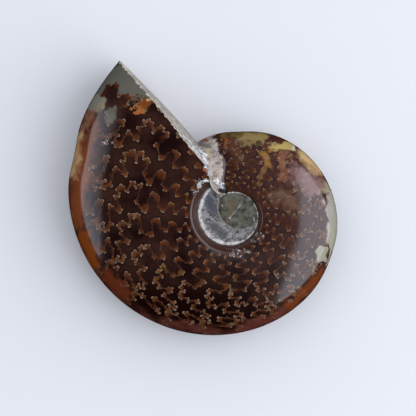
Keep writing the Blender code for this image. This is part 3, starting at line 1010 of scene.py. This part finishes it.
def softbox_light(side, place, aim, size, roll, spread, brightness):
    """A softbox at one point that faces another. A roll of 45 degrees stands it on its corner."""
    light = bpy.data.lights.new(f"{side}_softbox", "AREA")
    light.shape = "RECTANGLE"
    light.size, light.size_y = size
    light.spread = math.radians(spread)
    light.energy = brightness * math.pi * size[0] * size[1]
    light.color = LIGHT_COLOUR
    box = bpy.data.objects.new(light.name, light)
    box.location = place
    facing = (Vector(aim) - Vector(place)).to_track_quat("-Z", "Y")
    box.rotation_euler = (facing @ Quaternion((0, 0, 1), math.radians(roll))).to_euler()
    return box


class FOSSIL_OT_coil(bpy.types.Operator):
    """Build the ammonite's coil"""

    bl_idname = "fossil.coil"
    bl_label = "Coil"

    def execute(self, context):
        stone = calcite_material(context.scene.fossil_stone)
        mesh = make_coil_mesh(context.scene.fossil_coil, stone)
        coil = bpy.data.objects.new("ammonite_coil", mesh)
        context.scene.collection.objects.link(coil)
        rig.ride(coil, "root")
        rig.replaces(coil, NODE)
        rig.slot(coil, SLOT)
        return {"FINISHED"}


# The softboxes: where they stand and point, in metres, their size, and their roll and spread in degrees. The
# left one is a tall panel that shows in the polish alone. The right one stands on its corner and casts the
# shadow. The wide one overhead lightens the shadow and doesn't show in the polish.
SOFTBOXES = (
    ("left", (-0.45, -0.015, 0.65), (0.0, -0.015, 0.746), (0.39, 1.2), 0, 148),
    ("right", (0.507, -0.071, 0.40), (0.0, 0.0, 0.0), (0.857, 0.857), 45, 180),
    ("fill", (0.0, 0.5, 1.0), (0.0, 0.0, 0.0), (2.4, 2.4), 0, 180),
)
VIEW_CENTRE = (1.2 * MM, -2.3 * MM)
VIEW_WIDTH = 97.8 * MM  # at the height of the coil's plane
COIL_PLANE = 10 * MM
SENSOR = 36 * MM
FLOOR_SIZE = 1.5


class FOSSIL_OT_studio(bpy.types.Operator):
    """Set up the floor, the lights and the camera"""

    bl_idname = "fossil.studio"
    bl_label = "Studio"

    def execute(self, context):
        settings = context.scene.fossil_studio
        bm = bmesh.new()
        bmesh.ops.create_grid(bm, x_segments=1, y_segments=1, size=FLOOR_SIZE)
        mesh = bpy.data.meshes.new("studio_floor")
        bm.to_mesh(mesh)
        bm.free()
        mesh.materials.append(floor_material(settings.floor_colour))
        floor = bpy.data.objects.new("studio_floor", mesh)
        context.scene.collection.objects.link(floor)
        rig.stage(floor)
        floor.visible_glossy = False
        brightnesses = (settings.left_light, settings.right_light, settings.fill_light)
        for softbox, brightness in zip(SOFTBOXES, brightnesses):
            box = softbox_light(*softbox, brightness)
            context.scene.collection.objects.link(box)
            box.visible_glossy = softbox[0] != "fill"
            box.visible_diffuse = softbox[0] != "left"
        world = bpy.data.worlds.new("studio")
        context.scene.world = world
        world.use_nodes = True
        background = world.node_tree.nodes["Background"]
        background.inputs["Color"].default_value = WORLD_COLOUR
        background.inputs["Strength"].default_value = settings.world_light
        world.cycles_visibility.glossy = False
        context.scene.view_settings.view_transform = "Standard"
        camera = bpy.data.cameras.new("camera")
        camera.sensor_width = SENSOR / MM
        above_coil = settings.camera_height - COIL_PLANE
        camera.lens = camera.sensor_width * above_coil / VIEW_WIDTH
        viewer = bpy.data.objects.new("camera", camera)
        viewer.location = (*VIEW_CENTRE, settings.camera_height)
        context.scene.collection.objects.link(viewer)
        context.scene.camera = viewer
        return {"FINISHED"}


class FOSSIL_PT_sidebar(bpy.types.Panel):
    """The fossil's settings and pieces"""

    bl_idname = "FOSSIL_PT_sidebar"
    bl_label = "Ammonite Fossil"
    bl_space_type = "VIEW_3D"
    bl_region_type = "UI"
    bl_category = "Fossil"

    def draw(self, context):
        scene = context.scene
        for settings in (scene.fossil_coil, scene.fossil_stone, scene.fossil_studio):
            for name in settings.bl_rna.properties.keys():
                if name not in ("rna_type", "name"):
                    self.layout.prop(settings, name)
        for operator in OPERATORS:
            self.layout.operator(operator.bl_idname)


OPERATORS = (FOSSIL_OT_coil, FOSSIL_OT_studio)
CLASSES = (CoilSettings, StoneSettings, StudioSettings, *OPERATORS, FOSSIL_PT_sidebar)


def register():
    for each in CLASSES:
        bpy.utils.register_class(each)
    bpy.types.Scene.fossil_coil = bpy.props.PointerProperty(type=CoilSettings)
    bpy.types.Scene.fossil_stone = bpy.props.PointerProperty(type=StoneSettings)
    bpy.types.Scene.fossil_studio = bpy.props.PointerProperty(type=StudioSettings)


def unregister():
    del bpy.types.Scene.fossil_coil, bpy.types.Scene.fossil_stone, bpy.types.Scene.fossil_studio
    for each in reversed(CLASSES):
        bpy.utils.unregister_class(each)


def main():
    register()
    bpy.ops.fossil.studio()
    bpy.ops.fossil.coil()
    visual_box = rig.bounds()
    with open("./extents.json", "w") as sizes:
        json.dump({"cad": [list(corner) for corner in CAD_BOX], "visual": [list(corner) for corner in visual_box]}, sizes)


if __name__ == "__main__":
    main()
